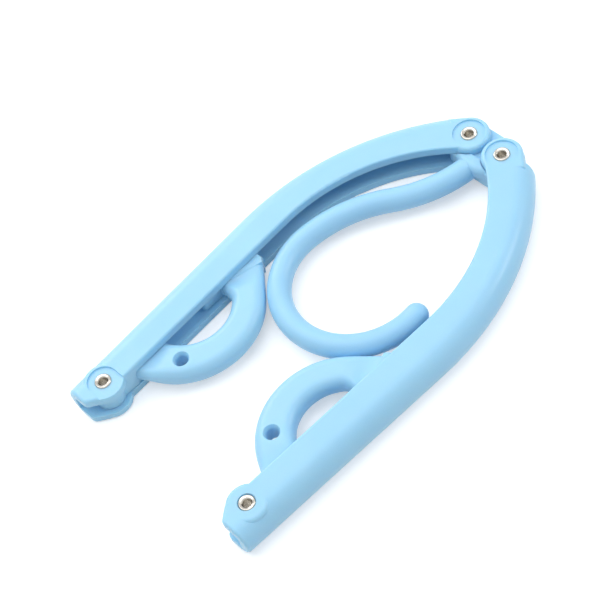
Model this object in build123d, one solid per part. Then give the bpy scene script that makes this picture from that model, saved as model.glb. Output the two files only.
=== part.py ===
from build123d import *
import os
from math import acos, atan2, cos, degrees, hypot, radians, sin, sqrt, tan

# Folding travel hanger, folded and lying flat.
# A moulded hub with its closet hook carries two channel arms on hollow rivets.
# Each arm holds a D-shaped extension that swings out of its open side.
# Lengths are millimetres and angles are degrees.
# The plan is laid out with the hub rivets on y = 0 and the arms towards +Y,
# and is moved along Y at the end, so that the origin is under the middle.

# Rivet places
hub_pitch = 16.3            # between the two hub rivets
hook_room = 2.0             # hub rivet to end rivet, across, is this much over the hook's radius
rivet_run = 157.5           # hub rivet to end rivet, along the hanger

# Arm section: a channel with its open side towards the hook
plate = 3.5                 # each side plate
channel_gap = 7.2           # between the plates
wall = 3.95                 # closed back, at its thickest
back_round = 6.9            # the back is almost fully round
lip_round = 0.8             # rounding of the two lips
ear_round = 1.5             # rounding of the ears' edges
tongue_round = 0.6

# Arm outline: a bend at the hub that runs into a straight stretch
end_back_reach = 9.8       # end rivet to the back
end_lip_reach = 5.0         # end rivet to the lip line
hub_back_reach = 10.8       # hub rivet to the back's line
hub_lip_reach = 6.9         # hub rivet to the lip line
back_bend_radius = 107.7
lip_bend_radius = 74.1
back_lean = 2.5             # the straight stretch leans in by this much
lip_lean = 1.8
tail = 10.5                 # end rivet to the end of the arm
tail_corner = 1.55          # end rivet to the start of the slanted cut, across
tail_round = 2.5            # rounding of that corner
tail_edge_round = 1.2       # rounding of the tail's edges
hub_ear_radius = 7.8
end_ear_radius = 7.6
shoulder_start = 5.0        # hub rivet to the shoulder where the back begins
shoulder_round = 4.0
ear_run = 8.0               # hub rivet to where the ear ends in the back
ear_lip_reach = 5.0         # and to the inner side of that run
wall_start = 6.5            # hub rivet to the closed back
spot_depth = 0.7            # seats of the rivets, below the plates' faces
hub_spot_radius = 6.1
end_spot_radius = 5.8       # on one face of the arm, open to the lip side
close_spot_radius = 3.3     # on the other face

# Semi-hollow rivets
shank_radius = 2.15
rim_radius = 3.1
rim_height = 0.6            # rolled rim above its seat
rim_slope = 0.25            # its inner side is this much lower
rim_crown_reach = 2.6       # middle to the rim's highest line
bore_radius = 1.65
bore_mouth_radius = 1.95
bore_depth = 3.2
head_flat = 0.8             # of the head on the other side
run_clearance = 0.05        # a tongue turns on its rivet with this all round

# Hub: a tongue between the ears, and a cheek on each face
side_clearance = 0.2        # tongue to plate, on each side
hub_flat = 8.0              # rivets to the flat side that stops the arms
hub_hook_side = 8.9         # rivets to the side under the hook
cheek_radius = 15.0
cheek_top = 10.6            # rivets to the top of the upper cheek
cheek_foot = 5.5
cheek_depth = 2.4           # cheek below the arm's face
arm_gap = 0.4               # cheeks and stem to the arms' plates

# Hook: a round bar bent into a C on a stem with two bends
hook_bar = 9.0
hook_radius = 28.0
hook_rise = 69.3            # rivets to the C's centre
hook_tip_angle = 185.0
hook_leave_angle = -5.0     # where the C passes into the stem
stem_foot_x = 1.5
stem_foot_y = 6.0
stem_foot_lean = 5.0
root_width = 11.0           # the stem widens to this at the hub
root_height = 9.8
root_length = 15.0
root_steps = 3

# Extension: a flat D-shaped loop on a boss, placed from the end rivet
back_clearance = 0.3        # boss and straight bar to the back of the channel
neck_reach = 4.35           # end rivet to the neck's open side
loop_x = 1.4                # centre of the loop's opening
loop_outer_radius = 29.73
loop_band = 13.98           # the outer radius is this much larger than the opening's
loop_shift_x = 0.95         # the outer edge has its centre a little further out
loop_shift_y = 1.35
loop_gap = 0.5              # loop to hook, folded
loop_bar = 9.0              # thickness of the loop outside the channel
loop_leave_angle = 118.0    # where the outer edge runs straight to the neck
bar_side = 1.75             # end rivet to the straight bar's inner side
tip_room = 1.52             # the tip lies this much outside the outer radius
tip_round = 1.8
heel_round = 3.0
loop_floor_rise = 2.9       # the opening's floor lies this much inside its radius
gusset_width = 3.0          # small web in the opening's hidden corner
gusset_height = 8.6
gusset_round = 1.3
eyelet_set = 7.55           # edge of the opening to the small hole
eyelet_angle = 132.5
eyelet_radius = 2.4
eyelet_flare = 0.8

# Angles round the loop where its bar is flat enough for the channel
root_angle = 100.0
root_flat_angle = 109.0
tip_flat_angle = 247.0
tip_angle = 255.0
bar_rise_angle = 20.0
tuck_angle = 6.0            # the bar's ends run on inside the flat part
tuck = 0.12                 # and lie this much below its faces
bar_slices = 12
bar_round_share = 0.92      # of half the bar's thickness

clear_span = 400.0          # larger than the whole hanger
overrun = 10.0              # cuts run past what they cut

# Worked out from the sizes above
thickness = 2 * plate + channel_gap
mid_z = thickness / 2
tongue = channel_gap - 2 * side_clearance
boss_radius = end_back_reach - wall - back_clearance
hub_rivet = Vector(hub_pitch / 2, 0)
end_rivet = Vector(hub_rivet.X + hook_radius + hook_room, rivet_run)
arm_end_y = rivet_run + tail
middle_y = (arm_end_y - hub_flat) / 2


def heading(angle):
    return Vector(cos(radians(angle)), sin(radians(angle)))


def angle_of(way):
    return degrees(atan2(way.Y, way.X))


def at(point):
    return Pos(point.X, point.Y)


def prism(face, bottom, top):
    return extrude(Pos(0, 0, bottom) * face, amount=top - bottom)


def bend_centre(reach, lean, radius, hub_distance):
    # The bend runs into the straight edge and keeps its distance from the hub rivet.
    across = heading(lean)
    along = heading(lean + 90)
    base = end_rivet + across * (reach - radius)
    offset = hub_rivet - base
    slide = offset.dot(along)
    return base + along * (slide + sqrt(hub_distance ** 2 - offset.dot(across) ** 2))


back_centre = bend_centre(end_back_reach, back_lean, back_bend_radius, back_bend_radius - hub_back_reach)
lip_centre = bend_centre(-end_lip_reach, lip_lean, lip_bend_radius, lip_bend_radius + hub_lip_reach)
out_angle = angle_of(hub_rivet - back_centre)
hub_frame = Location((hub_rivet.X, hub_rivet.Y, 0), (0, 0, out_angle + 90))


def edge_of_band(centre, radius, lean, end_y):
    # Hub end, middle and top of a bend, then the end of its straight stretch.
    low_angle = angle_of(hub_rivet - centre)
    low = centre + heading(low_angle) * radius
    middle = centre + heading((low_angle + lean) / 2) * radius
    high = centre + heading(lean) * radius
    end = Vector(high.X - (end_y - high.Y) * tan(radians(lean)), end_y)
    return low, middle, high, end


def band(back_inset=0, lip_growth=0, end_growth=0):
    # The arm's strip between its back edge and its lip edge.
    end_y = arm_end_y + end_growth
    back = edge_of_band(back_centre, back_bend_radius - back_inset, back_lean, end_y)
    lip = edge_of_band(lip_centre, lip_bend_radius - lip_growth, lip_lean, end_y)
    edges = [
        ThreePointArc(back[0], back[1], back[2]),
        Polyline(back[2], back[3], lip[3], lip[2]),
        ThreePointArc(lip[2], lip[1], lip[0]),
        Line(lip[0], back[0]),
    ]
    return make_face(Curve() + edges)


def hub_ear():
    # The round end at the hub, with a short straight run into the back.
    width = hub_ear_radius + ear_lip_reach
    run = Pos(ear_run / 2, ear_lip_reach - width / 2) * Rectangle(ear_run, width)
    return hub_frame * (Circle(hub_ear_radius) + run)


def slanted_cut():
    # Runs from the tail's corner and touches the end ear.
    corner = Vector(end_rivet.X - tail_corner, arm_end_y)
    reach = hypot(tail_corner, tail)
    lift = angle_of(corner - end_rivet) + degrees(acos(end_ear_radius / reach))
    touch = end_rivet + heading(lift) * end_ear_radius
    far = corner * 2 - touch
    outside = touch.X - overrun
    return make_face(Polyline(touch, far, Vector(outside, far.Y), Vector(outside, touch.Y), close=True))


def long_edges(body, edge):
    # The bend and the straight stretch of one outline edge, on both faces.
    found = []
    for z in (0, thickness):
        for place in (edge[1], (edge[2] + edge[3]) / 2):
            found.append(body.edges().sort_by_distance(Vector(place.X, place.Y, z))[0])
    return found


def rim_edges(body):
    return body.faces().sort_by(Axis.Z)[0].edges() + body.faces().sort_by(Axis.Z)[-1].edges()


def make_arm():
    # The right arm. The left one is the same moulding turned over.
    outline = band() - slanted_cut()
    corner = Vector(end_rivet.X - tail_corner, arm_end_y)
    outline = fillet(outline.vertices().sort_by_distance(corner)[0], tail_round)
    body = prism(outline, 0, thickness)
    back = edge_of_band(back_centre, back_bend_radius, back_lean, arm_end_y)
    lip = edge_of_band(lip_centre, lip_bend_radius, lip_lean, arm_end_y)
    body = fillet(long_edges(body, back), back_round)
    body = fillet(body.faces().sort_by(Axis.Y)[-1].edges(), tail_edge_round)
    body = fillet(long_edges(body, lip), lip_round)

    # The round back begins at a soft shoulder, and the ears carry on round the rivets.
    shoulder = Pos(shoulder_start + clear_span / 2, clear_span / 2 - hub_back_reach)
    past_shoulder = shoulder * RectangleRounded(clear_span, clear_span, shoulder_round)
    lip_side = Pos(0, clear_span / 2 + ear_round - hub_ear_radius) * Rectangle(2 * clear_span, clear_span)
    body = body & prism(hub_frame * (past_shoulder + lip_side), -overrun, thickness + overrun)
    ear = prism(hub_ear(), 0, thickness)
    end_ear = prism(at(end_rivet) * Circle(end_ear_radius), 0, thickness)
    body = body + fillet(rim_edges(ear), ear_round) + fillet(rim_edges(end_ear), ear_round)

    # The channel is open at the lips and at both ends.
    inside = band(back_inset=wall, lip_growth=overrun, end_growth=overrun)
    before_wall = hub_frame * Pos(wall_start - clear_span / 2, 0) * Rectangle(clear_span, clear_span)
    body -= prism(inside, plate, plate + channel_gap)
    body -= prism(before_wall, plate, plate + channel_gap)

    # Seats for the rivets: round at the hub, a slot and a close one at the end.
    hub_spot = at(hub_rivet) * Circle(hub_spot_radius)
    close_spot = at(end_rivet) * Circle(close_spot_radius)
    side_run = Pos(-overrun / 2, 0) * Rectangle(overrun, 2 * end_spot_radius)
    end_slot = at(end_rivet) * (Circle(end_spot_radius) + side_run)
    for face, level in ((hub_spot, 0), (close_spot, 0), (hub_spot, thickness), (end_slot, thickness)):
        body -= prism(face, level - spot_depth, level + spot_depth)
    for rivet in (hub_rivet, end_rivet):
        body -= prism(at(rivet) * Circle(shank_radius), -overrun, thickness + overrun)
    return body


def make_rivet():
    # A pin with a low head below. Above, its blind bore is rolled outwards onto the ear.
    seat = mid_z - spot_depth
    top = seat + rim_height
    inner_top = top - rim_slope
    floor = seat - bore_depth
    head = -seat - rim_height
    profile = [
        Polyline((0, head), (0, floor), (bore_radius, floor), (bore_radius, seat)),
        Polyline((bore_radius, seat), (bore_mouth_radius, inner_top), (rim_crown_reach, top)),
        RadiusArc((rim_crown_reach, top), (rim_radius, seat), rim_height),
        Polyline((rim_radius, seat), (shank_radius, seat), (shank_radius, -seat), (rim_radius, -seat)),
        ThreePointArc((rim_radius, -seat), (shank_radius, head + rim_slope), (head_flat, head)),
        Line((head_flat, head), (0, head)),
    ]
    return Pos(0, 0, mid_z) * revolve(Plane.XZ * make_face(Curve() + profile), Axis.Z)


def hook_path():
    # From the tip round the C, then two bends down to the stem's foot.
    centre = Vector(0, hook_rise)
    tip = centre + heading(hook_tip_angle) * hook_radius
    top = centre + heading((hook_tip_angle + hook_leave_angle) / 2) * hook_radius
    leave = centre + heading(hook_leave_angle) * hook_radius
    foot = Vector(stem_foot_x, stem_foot_y)
    start_way = heading(hook_leave_angle - 90)
    foot_way = heading(-90 - stem_foot_lean)
    # Both bends have tangents of the same length, which this works out.
    span = foot - leave
    both = start_way + foot_way
    along = span.dot(both)
    spread = 4 - both.dot(both)
    length = span.dot(span) / (along + sqrt(along ** 2 + spread * span.dot(span)))
    middle = (leave + start_way * length + foot - foot_way * length) / 2
    upper_bend = TangentArc(leave, middle, tangent=start_way)
    lower_bend = TangentArc(middle, foot, tangent=upper_bend % 1)
    return ThreePointArc(tip, top, leave), upper_bend, lower_bend


def make_hook():
    curl, upper_bend, lower_bend = hook_path()
    section = Plane(origin=curl @ 0, z_dir=curl % 0) * Circle(hook_bar / 2)
    bar = sweep(section, path=Curve() + [curl, upper_bend, lower_bend])
    bar += at(curl @ 0) * Sphere(hook_bar / 2)
    # The stem widens over its last stretch.
    rings = []
    for step in range(root_steps + 1):
        run_share = step / root_steps
        ease = run_share ** 2
        share = 1 - (1 - run_share) * root_length / lower_bend.length
        way = lower_bend % share
        plane = Plane(origin=lower_bend @ share, x_dir=(way.Y, -way.X, 0), z_dir=way)
        width = hook_bar + (root_width - hook_bar) * ease
        height = hook_bar + (root_height - hook_bar) * ease
        rings.append(plane * Ellipse(width / 2, height / 2))
    return Pos(0, 0, mid_z) * (bar + loft(rings))


def make_cheeks():
    # They fill the space between the ears.
    disc = Pos(0, cheek_top - cheek_radius) * Circle(cheek_radius)
    block = Rectangle(2 * cheek_radius, 2 * cheek_radius)
    upper_face = disc & Pos(0, cheek_foot + cheek_radius) * block
    lower_face = upper_face & Pos(0, hub_hook_side - cheek_radius) * block
    upper = prism(upper_face, mid_z, thickness - cheek_depth)
    upper = fillet(upper.faces().sort_by(Axis.Z)[-1].edges().sort_by(Axis.Y)[-1], cheek_depth)
    return upper + prism(lower_face, cheek_depth, mid_z)


def make_hook_hub():
    face = RectangleRounded(hub_pitch + 2 * hub_flat, hub_flat + hub_hook_side, hub_flat)
    body = prism(Pos(0, (hub_hook_side - hub_flat) / 2) * face, mid_z - tongue / 2, mid_z + tongue / 2)
    body = fillet(rim_edges(body), tongue_round)
    raised = make_cheeks() + make_hook()
    # Cheeks and stem give way to the arms' plates, above and below the tongue.
    arm_face = band(lip_growth=arm_gap) + at(hub_rivet) * Circle(hub_ear_radius + arm_gap)
    arm_face += mirror(arm_face, Plane.YZ)
    raised -= prism(arm_face, -overrun, mid_z - tongue / 2)
    raised -= prism(arm_face, mid_z + tongue / 2, thickness + overrun)
    body = body + raised
    for side in (-1, 1):
        bore = Pos(side * hub_rivet.X, 0) * Circle(shank_radius + run_clearance)
        body -= prism(bore, -overrun, thickness + overrun)
    return body


loop_opening_radius = loop_outer_radius - loop_band
loop_floor_reach = loop_opening_radius - loop_floor_rise

# Folded, the loop's outer edge stays clear of the hook by the gap.
outer_x = end_rivet.X + loop_x + loop_shift_x
outer_to_hook = hook_radius + hook_bar / 2 + loop_gap + loop_outer_radius
outer_centre = Vector(outer_x, hook_rise + sqrt(outer_to_hook ** 2 - outer_x ** 2))
loop_centre = outer_centre - Vector(loop_shift_x, loop_shift_y)
to_hook = Vector(0, hook_rise) - outer_centre
loop_meet_angle = angle_of(to_hook) % 360


def outer_point(angle):
    # Where a ray from the loop's centre leaves the outer edge, round or straight.
    way = heading(angle)
    back = loop_centre - outer_centre
    if angle < loop_leave_angle or angle > loop_meet_angle:
        facing = heading(loop_leave_angle if angle < loop_leave_angle else loop_meet_angle)
        run = (loop_outer_radius - back.dot(facing)) / way.dot(facing)
    else:
        run = sqrt(loop_outer_radius ** 2 - back.dot(back) + back.dot(way) ** 2) - back.dot(way)
    return loop_centre + way * run


def inner_point(angle):
    # The opening is round, with a flat floor near the tip.
    way = heading(angle)
    run = loop_opening_radius
    if -way.Y * run > loop_floor_reach:
        run = loop_floor_reach / -way.Y
    return loop_centre + way * run


def on_outer_line(angle, x):
    # The point at x on the straight stretch of the outer edge.
    facing = heading(angle)
    touch = outer_centre + facing * loop_outer_radius
    return Vector(x, touch.Y - (x - touch.X) * facing.X / facing.Y)


def loop_slice(angle):
    inner = inner_point(angle)
    outer = outer_point(angle)
    middle = (inner + outer) / 2
    inside = min(angle - root_flat_angle, tip_flat_angle - angle) / bar_rise_angle
    ease = (1 - min(max(inside, 0), 1)) ** 2
    height = loop_bar + (tongue - 2 * tuck - loop_bar) * ease
    width = (outer - inner).length
    if angle <= root_angle or angle >= tip_angle:
        width -= 2 * tuck
    plane = Plane(origin=(middle.X, middle.Y, mid_z), x_dir=heading(angle), z_dir=heading(angle + 90))
    return plane * RectangleRounded(width, height, height / 2 * bar_round_share)


def channel_plate():
    # What lies in the channel: neck, straight bar, tip and the web in the corner.
    right = end_rivet.X + boss_radius
    bar_x = end_rivet.X + bar_side
    neck_x = end_rivet.X - neck_reach
    tip_y = loop_centre.Y - loop_outer_radius - tip_room
    floor_y = loop_centre.Y - loop_floor_reach
    tip_corner = outer_point(tip_angle)
    neck_root = on_outer_line(loop_leave_angle, neck_x)
    roof = Vector(bar_x, loop_centre.Y + sqrt(loop_opening_radius ** 2 - (bar_x - loop_centre.X) ** 2))
    root_in = inner_point(root_angle)
    roof_mid = inner_point((root_angle + angle_of(roof - loop_centre)) / 2)
    web_x = bar_x - gusset_width
    web_top = floor_y + gusset_height
    heel_y = tip_y + heel_round
    heel_x = right - heel_round
    outline = [
        Polyline(root_in, outer_point(root_angle), neck_root),
        Polyline(neck_root, (neck_x, end_rivet.Y), (right, end_rivet.Y), (right, heel_y)),
        RadiusArc((right, heel_y), (heel_x, tip_y), heel_round),
        Polyline((heel_x, tip_y), (tip_corner.X + tip_round, tip_y), tip_corner, inner_point(tip_angle)),
        Polyline(inner_point(tip_angle), (web_x, floor_y), (web_x, web_top - gusset_round)),
        RadiusArc((web_x, web_top - gusset_round), (web_x + gusset_round, web_top), gusset_round),
        Polyline((web_x + gusset_round, web_top), (bar_x, web_top), roof),
        ThreePointArc(roof, roof_mid, root_in),
    ]
    return make_face(Curve() + outline)


def make_extension():
    # The right extension. The left one is the same moulding turned over.
    angles = [root_angle - tuck_angle, root_angle, root_flat_angle]
    first = root_flat_angle + bar_rise_angle / 3
    last = tip_flat_angle - bar_rise_angle / 3
    angles += [first + (last - first) * step / bar_slices for step in range(bar_slices + 1)]
    angles += [tip_flat_angle, tip_angle, tip_angle + tuck_angle]
    loop = loft([loop_slice(angle) for angle in angles])
    body = prism(channel_plate() + at(end_rivet) * Circle(boss_radius), mid_z - tongue / 2, mid_z + tongue / 2)
    body += loop
    # The small hole widens towards both faces.
    rise = loop_bar / 2
    mouth = (eyelet_radius + eyelet_flare, rise + tuck)
    bend = (eyelet_radius + eyelet_flare / 3, rise - eyelet_flare)
    throat = (eyelet_radius, rise - 2 * eyelet_flare)
    profile = [
        Polyline((0, 0), (0, rise + overrun), (mouth[0], rise + overrun), mouth),
        ThreePointArc(mouth, bend, throat),
        Polyline(throat, (eyelet_radius, 0), (0, 0)),
    ]
    half = revolve(Plane.XZ * make_face(Curve() + profile), Axis.Z)
    eyelet = loop_centre + heading(eyelet_angle) * (loop_opening_radius + eyelet_set)
    body -= Pos(eyelet.X, eyelet.Y, mid_z) * (half + mirror(half, Plane.XY))
    body -= prism(at(end_rivet) * Circle(shank_radius + run_clearance), -overrun, thickness + overrun)
    return body


def turned_over(body):
    return Pos(0, 0, thickness) * Rot(0, 180, 0) * body


arm = make_arm()
extension = make_extension()
hub_pin = at(hub_rivet) * make_rivet()
end_pin = at(end_rivet) * make_rivet()
hanger = {
    "hook_hub": make_hook_hub(),
    "right_arm": arm,
    "left_arm": turned_over(arm),
    "right_extension": extension,
    "left_extension": turned_over(extension),
    "right_hub_rivet": hub_pin,
    "left_hub_rivet": mirror(hub_pin, Plane.YZ),
    "right_end_rivet": end_pin,
    "left_end_rivet": mirror(end_pin, Plane.YZ),
}

os.makedirs("parts", exist_ok=True)
for name, body in hanger.items():
    export_step(Pos(0, -middle_y) * body, f"parts/{name}.step")
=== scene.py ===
import bpy
from math import cos, radians, sin
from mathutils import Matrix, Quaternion, Vector

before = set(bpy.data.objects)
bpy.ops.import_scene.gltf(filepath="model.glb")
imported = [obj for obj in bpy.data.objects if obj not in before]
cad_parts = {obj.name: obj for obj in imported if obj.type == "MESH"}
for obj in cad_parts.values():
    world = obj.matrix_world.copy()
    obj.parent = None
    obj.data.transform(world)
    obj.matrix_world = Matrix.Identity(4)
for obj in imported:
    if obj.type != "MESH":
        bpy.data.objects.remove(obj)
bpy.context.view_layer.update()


# The camera.
# It looks down on the folded hanger from the side of its open end,
# with a long lens, and is tilted so that the hanger lies across the picture.
look_at = Vector((0.00196, 0.01058, 0.0142))
camera_height = radians(53.58)
camera_side = Vector((-0.896, 0.444, 0.0)).normalized()
camera_distance = 0.6718
camera_tilt = radians(-21.7)
view_angle = radians(18.12)

to_camera = camera_side * cos(camera_height) + Vector((0.0, 0.0, sin(camera_height)))
bpy.ops.object.select_all(action="DESELECT")
bpy.ops.object.camera_add(location=look_at + to_camera * camera_distance)
camera = bpy.context.object
camera.name = "camera"
aim = (-to_camera).to_track_quat("-Z", "Y") @ Quaternion((0.0, 0.0, 1.0), camera_tilt)
camera.rotation_euler = aim.to_euler()
camera.data.angle = view_angle
camera.data.clip_start = 0.01
bpy.context.scene.camera = camera


# The studio.
# A white sweep under the hanger, a large soft box high above it, a small one low
# behind it, which draws the bright lines along its edges, and a fill at the hub's side.
def new_material(name):
    material = bpy.data.materials.new(name)
    material.use_nodes = True
    tree = material.node_tree
    return material, tree, tree.nodes["Principled BSDF"]


def set_inputs(node, values):
    for name, value in values.items():
        node.inputs[name].default_value = value


def add_math(tree, operation, *values):
    # A number is written into its input, and an output of another node is linked to it.
    node = tree.nodes.new("ShaderNodeMath")
    node.operation = operation
    for socket, value in zip(node.inputs, values):
        if isinstance(value, float):
            socket.default_value = value
        else:
            tree.links.new(value, socket)
    return node.outputs[0]


def add_range(tree, value, start, end, curve="LINEAR"):
    # It turns values within start into values within end.
    node = tree.nodes.new("ShaderNodeMapRange")
    node.interpolation_type = curve
    set_inputs(node, {"From Min": start[0], "From Max": start[1]})
    set_inputs(node, {"To Min": end[0], "To Max": end[1]})
    tree.links.new(value, node.inputs["Value"])
    return node.outputs["Result"]


def object_place(tree):
    return tree.nodes.new("ShaderNodeTexCoord").outputs["Object"]


def seen_directly(tree):
    # 1 for what the camera sees, also in a mirror or through glass, and 0 for the light
    # that falls on the hanger.
    path = tree.nodes.new("ShaderNodeLightPath").outputs
    seen = add_math(tree, "ADD", path["Is Camera Ray"], path["Is Glossy Ray"])
    seen = add_math(tree, "ADD", seen, path["Is Transmission Ray"])
    seen.node.use_clamp = True
    return seen


white = (1.0, 1.0, 1.0, 1.0)
floor_grey = (0.82, 0.82, 0.82, 1.0)
bpy.ops.mesh.primitive_plane_add(size=6.0, location=(0.0, 0.0, 0.0))
floor = bpy.context.object
floor.name = "floor"
floor_paint, tree, shader = new_material("floor_paint")
set_inputs(shader, {
    "Base Color": floor_grey,
    "Roughness": 0.9,
    "Specular IOR Level": 0.1,
    "Emission Color": white,
})

# Away from the lamps the floor stays as white as under them.
lamp_reach = (0.3, 1.6)
floor_lift = (0.42, 0.75)
away = tree.nodes.new("ShaderNodeVectorMath")
away.operation = "LENGTH"
tree.links.new(object_place(tree), away.inputs[0])
lift = add_range(tree, away.outputs["Value"], lamp_reach, floor_lift, "SMOOTHSTEP")
lift = add_math(tree, "MULTIPLY", seen_directly(tree), lift)
tree.links.new(lift, shader.inputs["Emission Strength"])
floor.data.materials.append(floor_paint)

# The air looks white, and gives less light than that.
air_light = 0.41
world = bpy.data.worlds.new("studio")
bpy.context.scene.world = world
world.use_nodes = True
tree = world.node_tree
air = tree.nodes["Background"]
air.inputs["Color"].default_value = white
level = add_math(tree, "MULTIPLY_ADD", seen_directly(tree), 1.0 - air_light, air_light)
tree.links.new(level, air.inputs["Strength"])


def add_soft_box(name, place, size, power):
    # Place and size are in metres and the power in watts. It faces the hanger's middle.
    bpy.ops.object.light_add(type="AREA", location=place)
    box = bpy.context.object
    box.name = name
    box.data.shape = "SQUARE"
    box.data.size = size
    box.data.energy = power
    box.rotation_euler = (-Vector(place)).to_track_quat("-Z", "Y").to_euler()


add_soft_box("top_soft_box", (0.3, 0.1, 1.1), size=1.5, power=11.0)
add_soft_box("rim_soft_box", (0.85, -0.1, 0.45), size=0.4, power=1.8)
add_soft_box("fill_soft_box", (-0.5, -0.85, 0.6), size=0.3, power=2.6)


# The hub with its hook.
# One injection moulding in a pale sky-blue plastic, solid, with a soft satin gloss.
# The two halves of the mould meet at half its height and leave a hair-fine line there.
def add_noise(tree, place, scale, detail):
    node = tree.nodes.new("ShaderNodeTexNoise")
    set_inputs(node, {"Scale": scale, "Detail": detail})
    tree.links.new(place, node.inputs["Vector"])
    return node.outputs["Fac"]


def add_shade(tree, value, deep, pale, span):
    # The colour goes from deep to pale while the value goes through the span.
    node = tree.nodes.new("ShaderNodeValToRGB")
    first, last = node.color_ramp.elements
    first.position, last.position = span
    first.color = (*deep, 1.0)
    last.color = (*pale, 1.0)
    tree.links.new(value, node.inputs["Fac"])
    return node.outputs["Color"]


def add_bump(tree, shader, height, strength, distance):
    node = tree.nodes.new("ShaderNodeBump")
    set_inputs(node, {"Strength": strength, "Distance": distance})
    tree.links.new(height, node.inputs["Height"])
    tree.links.new(node.outputs["Normal"], shader.inputs["Normal"])


def sky_blue_plastic(name, pale, deep, line_height):
    material, tree, shader = new_material(name)
    place = object_place(tree)

    # The dye is a little uneven, in clouds of a few centimetres, and has fine specks.
    cloud = add_noise(tree, place, scale=45.0, detail=3.0)
    shade = add_shade(tree, cloud, deep, pale, span=(0.3, 0.7))
    speck = add_noise(tree, place, scale=2600.0, detail=2.0)
    dyed = tree.nodes.new("ShaderNodeVectorMath")
    dyed.operation = "SCALE"
    tree.links.new(shade, dyed.inputs[0])
    speck_shade = add_range(tree, speck, (0.35, 0.65), (0.99, 1.01))
    tree.links.new(speck_shade, dyed.inputs["Scale"])
    tree.links.new(dyed.outputs["Vector"], shader.inputs["Base Color"])

    # The mould was lightly blasted, and handling has polished it in places.
    skin_in_wear = 0.12
    skin = add_noise(tree, place, scale=900.0, detail=4.0)
    handled = add_noise(tree, place, scale=30.0, detail=5.0)
    wear = add_math(tree, "MULTIPLY_ADD", skin, skin_in_wear, handled)
    roughness = add_range(tree, wear, (0.35, 0.8), (0.28, 0.38))
    tree.links.new(roughness, shader.inputs["Roughness"])

    # Shrinkage waves the surface very slightly where the plastic changes thickness.
    skin_in_grain = 0.006
    wave = add_noise(tree, place, scale=140.0, detail=1.0)
    grain = add_math(tree, "MULTIPLY_ADD", skin, skin_in_grain, wave)

    # The line of the mould is a ridge of about 0.2 mm, which fades out at both sides.
    line_edges = (0.00004, 0.00016)
    line_relief = 0.4
    split = tree.nodes.new("ShaderNodeSeparateXYZ")
    tree.links.new(place, split.inputs["Vector"])
    distance = add_math(tree, "SUBTRACT", split.outputs["Z"], line_height)
    distance = add_math(tree, "ABSOLUTE", distance)
    ridge = add_range(tree, distance, line_edges, (line_relief, 0.0), "SMOOTHSTEP")
    relief = add_math(tree, "ADD", grain, ridge)
    add_bump(tree, shader, relief, strength=0.12, distance=0.0004)

    # A little light passes into the plastic and comes out bluer.
    set_inputs(shader, {
        "Subsurface Weight": 0.3,
        "Subsurface Radius": (0.4, 0.8, 1.0),
        "Subsurface Scale": 0.004,
        "Specular IOR Level": 0.32,
    })
    return material


def dress(names, material):
    for name in names:
        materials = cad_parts[name].data.materials
        materials.clear()
        materials.append(material)


# The three copies of this plastic differ only by a trace in brightness, as painted
# light and shade: the hub is set a trace deeper and the loops a trace paler than the
# arms.
mould_line = 0.0071
hub_plastic = sky_blue_plastic(
    "hub_plastic", (0.375, 0.69, 0.94), (0.35, 0.66, 0.915), mould_line)
dress(["hook_hub"], hub_plastic)


# The arms: two channels, the same moulding twice, one turned over.
# The same plastic from the same dye. Their mould opens at half their height,
# so that the line runs round the middle of the thick round back.
arm_plastic = sky_blue_plastic(
    "arm_plastic", (0.38, 0.70, 0.945), (0.355, 0.67, 0.925), mould_line)
dress(["right_arm", "left_arm"], arm_plastic)


# The extensions: two D-shaped loops, again the same moulding twice.
# The same plastic, set a trace paler as painted light.
loop_plastic = sky_blue_plastic(
    "loop_plastic", (0.39, 0.71, 0.95), (0.365, 0.68, 0.93), mould_line)
dress(["right_extension", "left_extension"], loop_plastic)


# The rivets: four semi-hollow rivets of nickel-plated steel.
# A punch rolled the hollow end over onto the plastic and left fine marks on the rim.
# The plating is worn thin and warm in places.
def nickel_plate():
    material, tree, shader = new_material("nickel_plate")
    mark = add_noise(tree, object_place(tree), scale=1500.0, detail=5.0)
    worn = (0.40, 0.375, 0.33)
    plated = (0.66, 0.635, 0.59)
    tint = add_shade(tree, mark, worn, plated, span=(0.0, 1.0))
    tree.links.new(tint, shader.inputs["Base Color"])
    roughness = add_range(tree, mark, (0.0, 1.0), (0.14, 0.27))
    tree.links.new(roughness, shader.inputs["Roughness"])
    add_bump(tree, shader, mark, strength=0.15, distance=0.0001)
    shader.inputs["Metallic"].default_value = 1.0
    return material


dress(
    ["right_hub_rivet", "left_hub_rivet", "right_end_rivet", "left_end_rivet"],
    nickel_plate())

bpy.context.scene.view_settings.view_transform = "Standard"
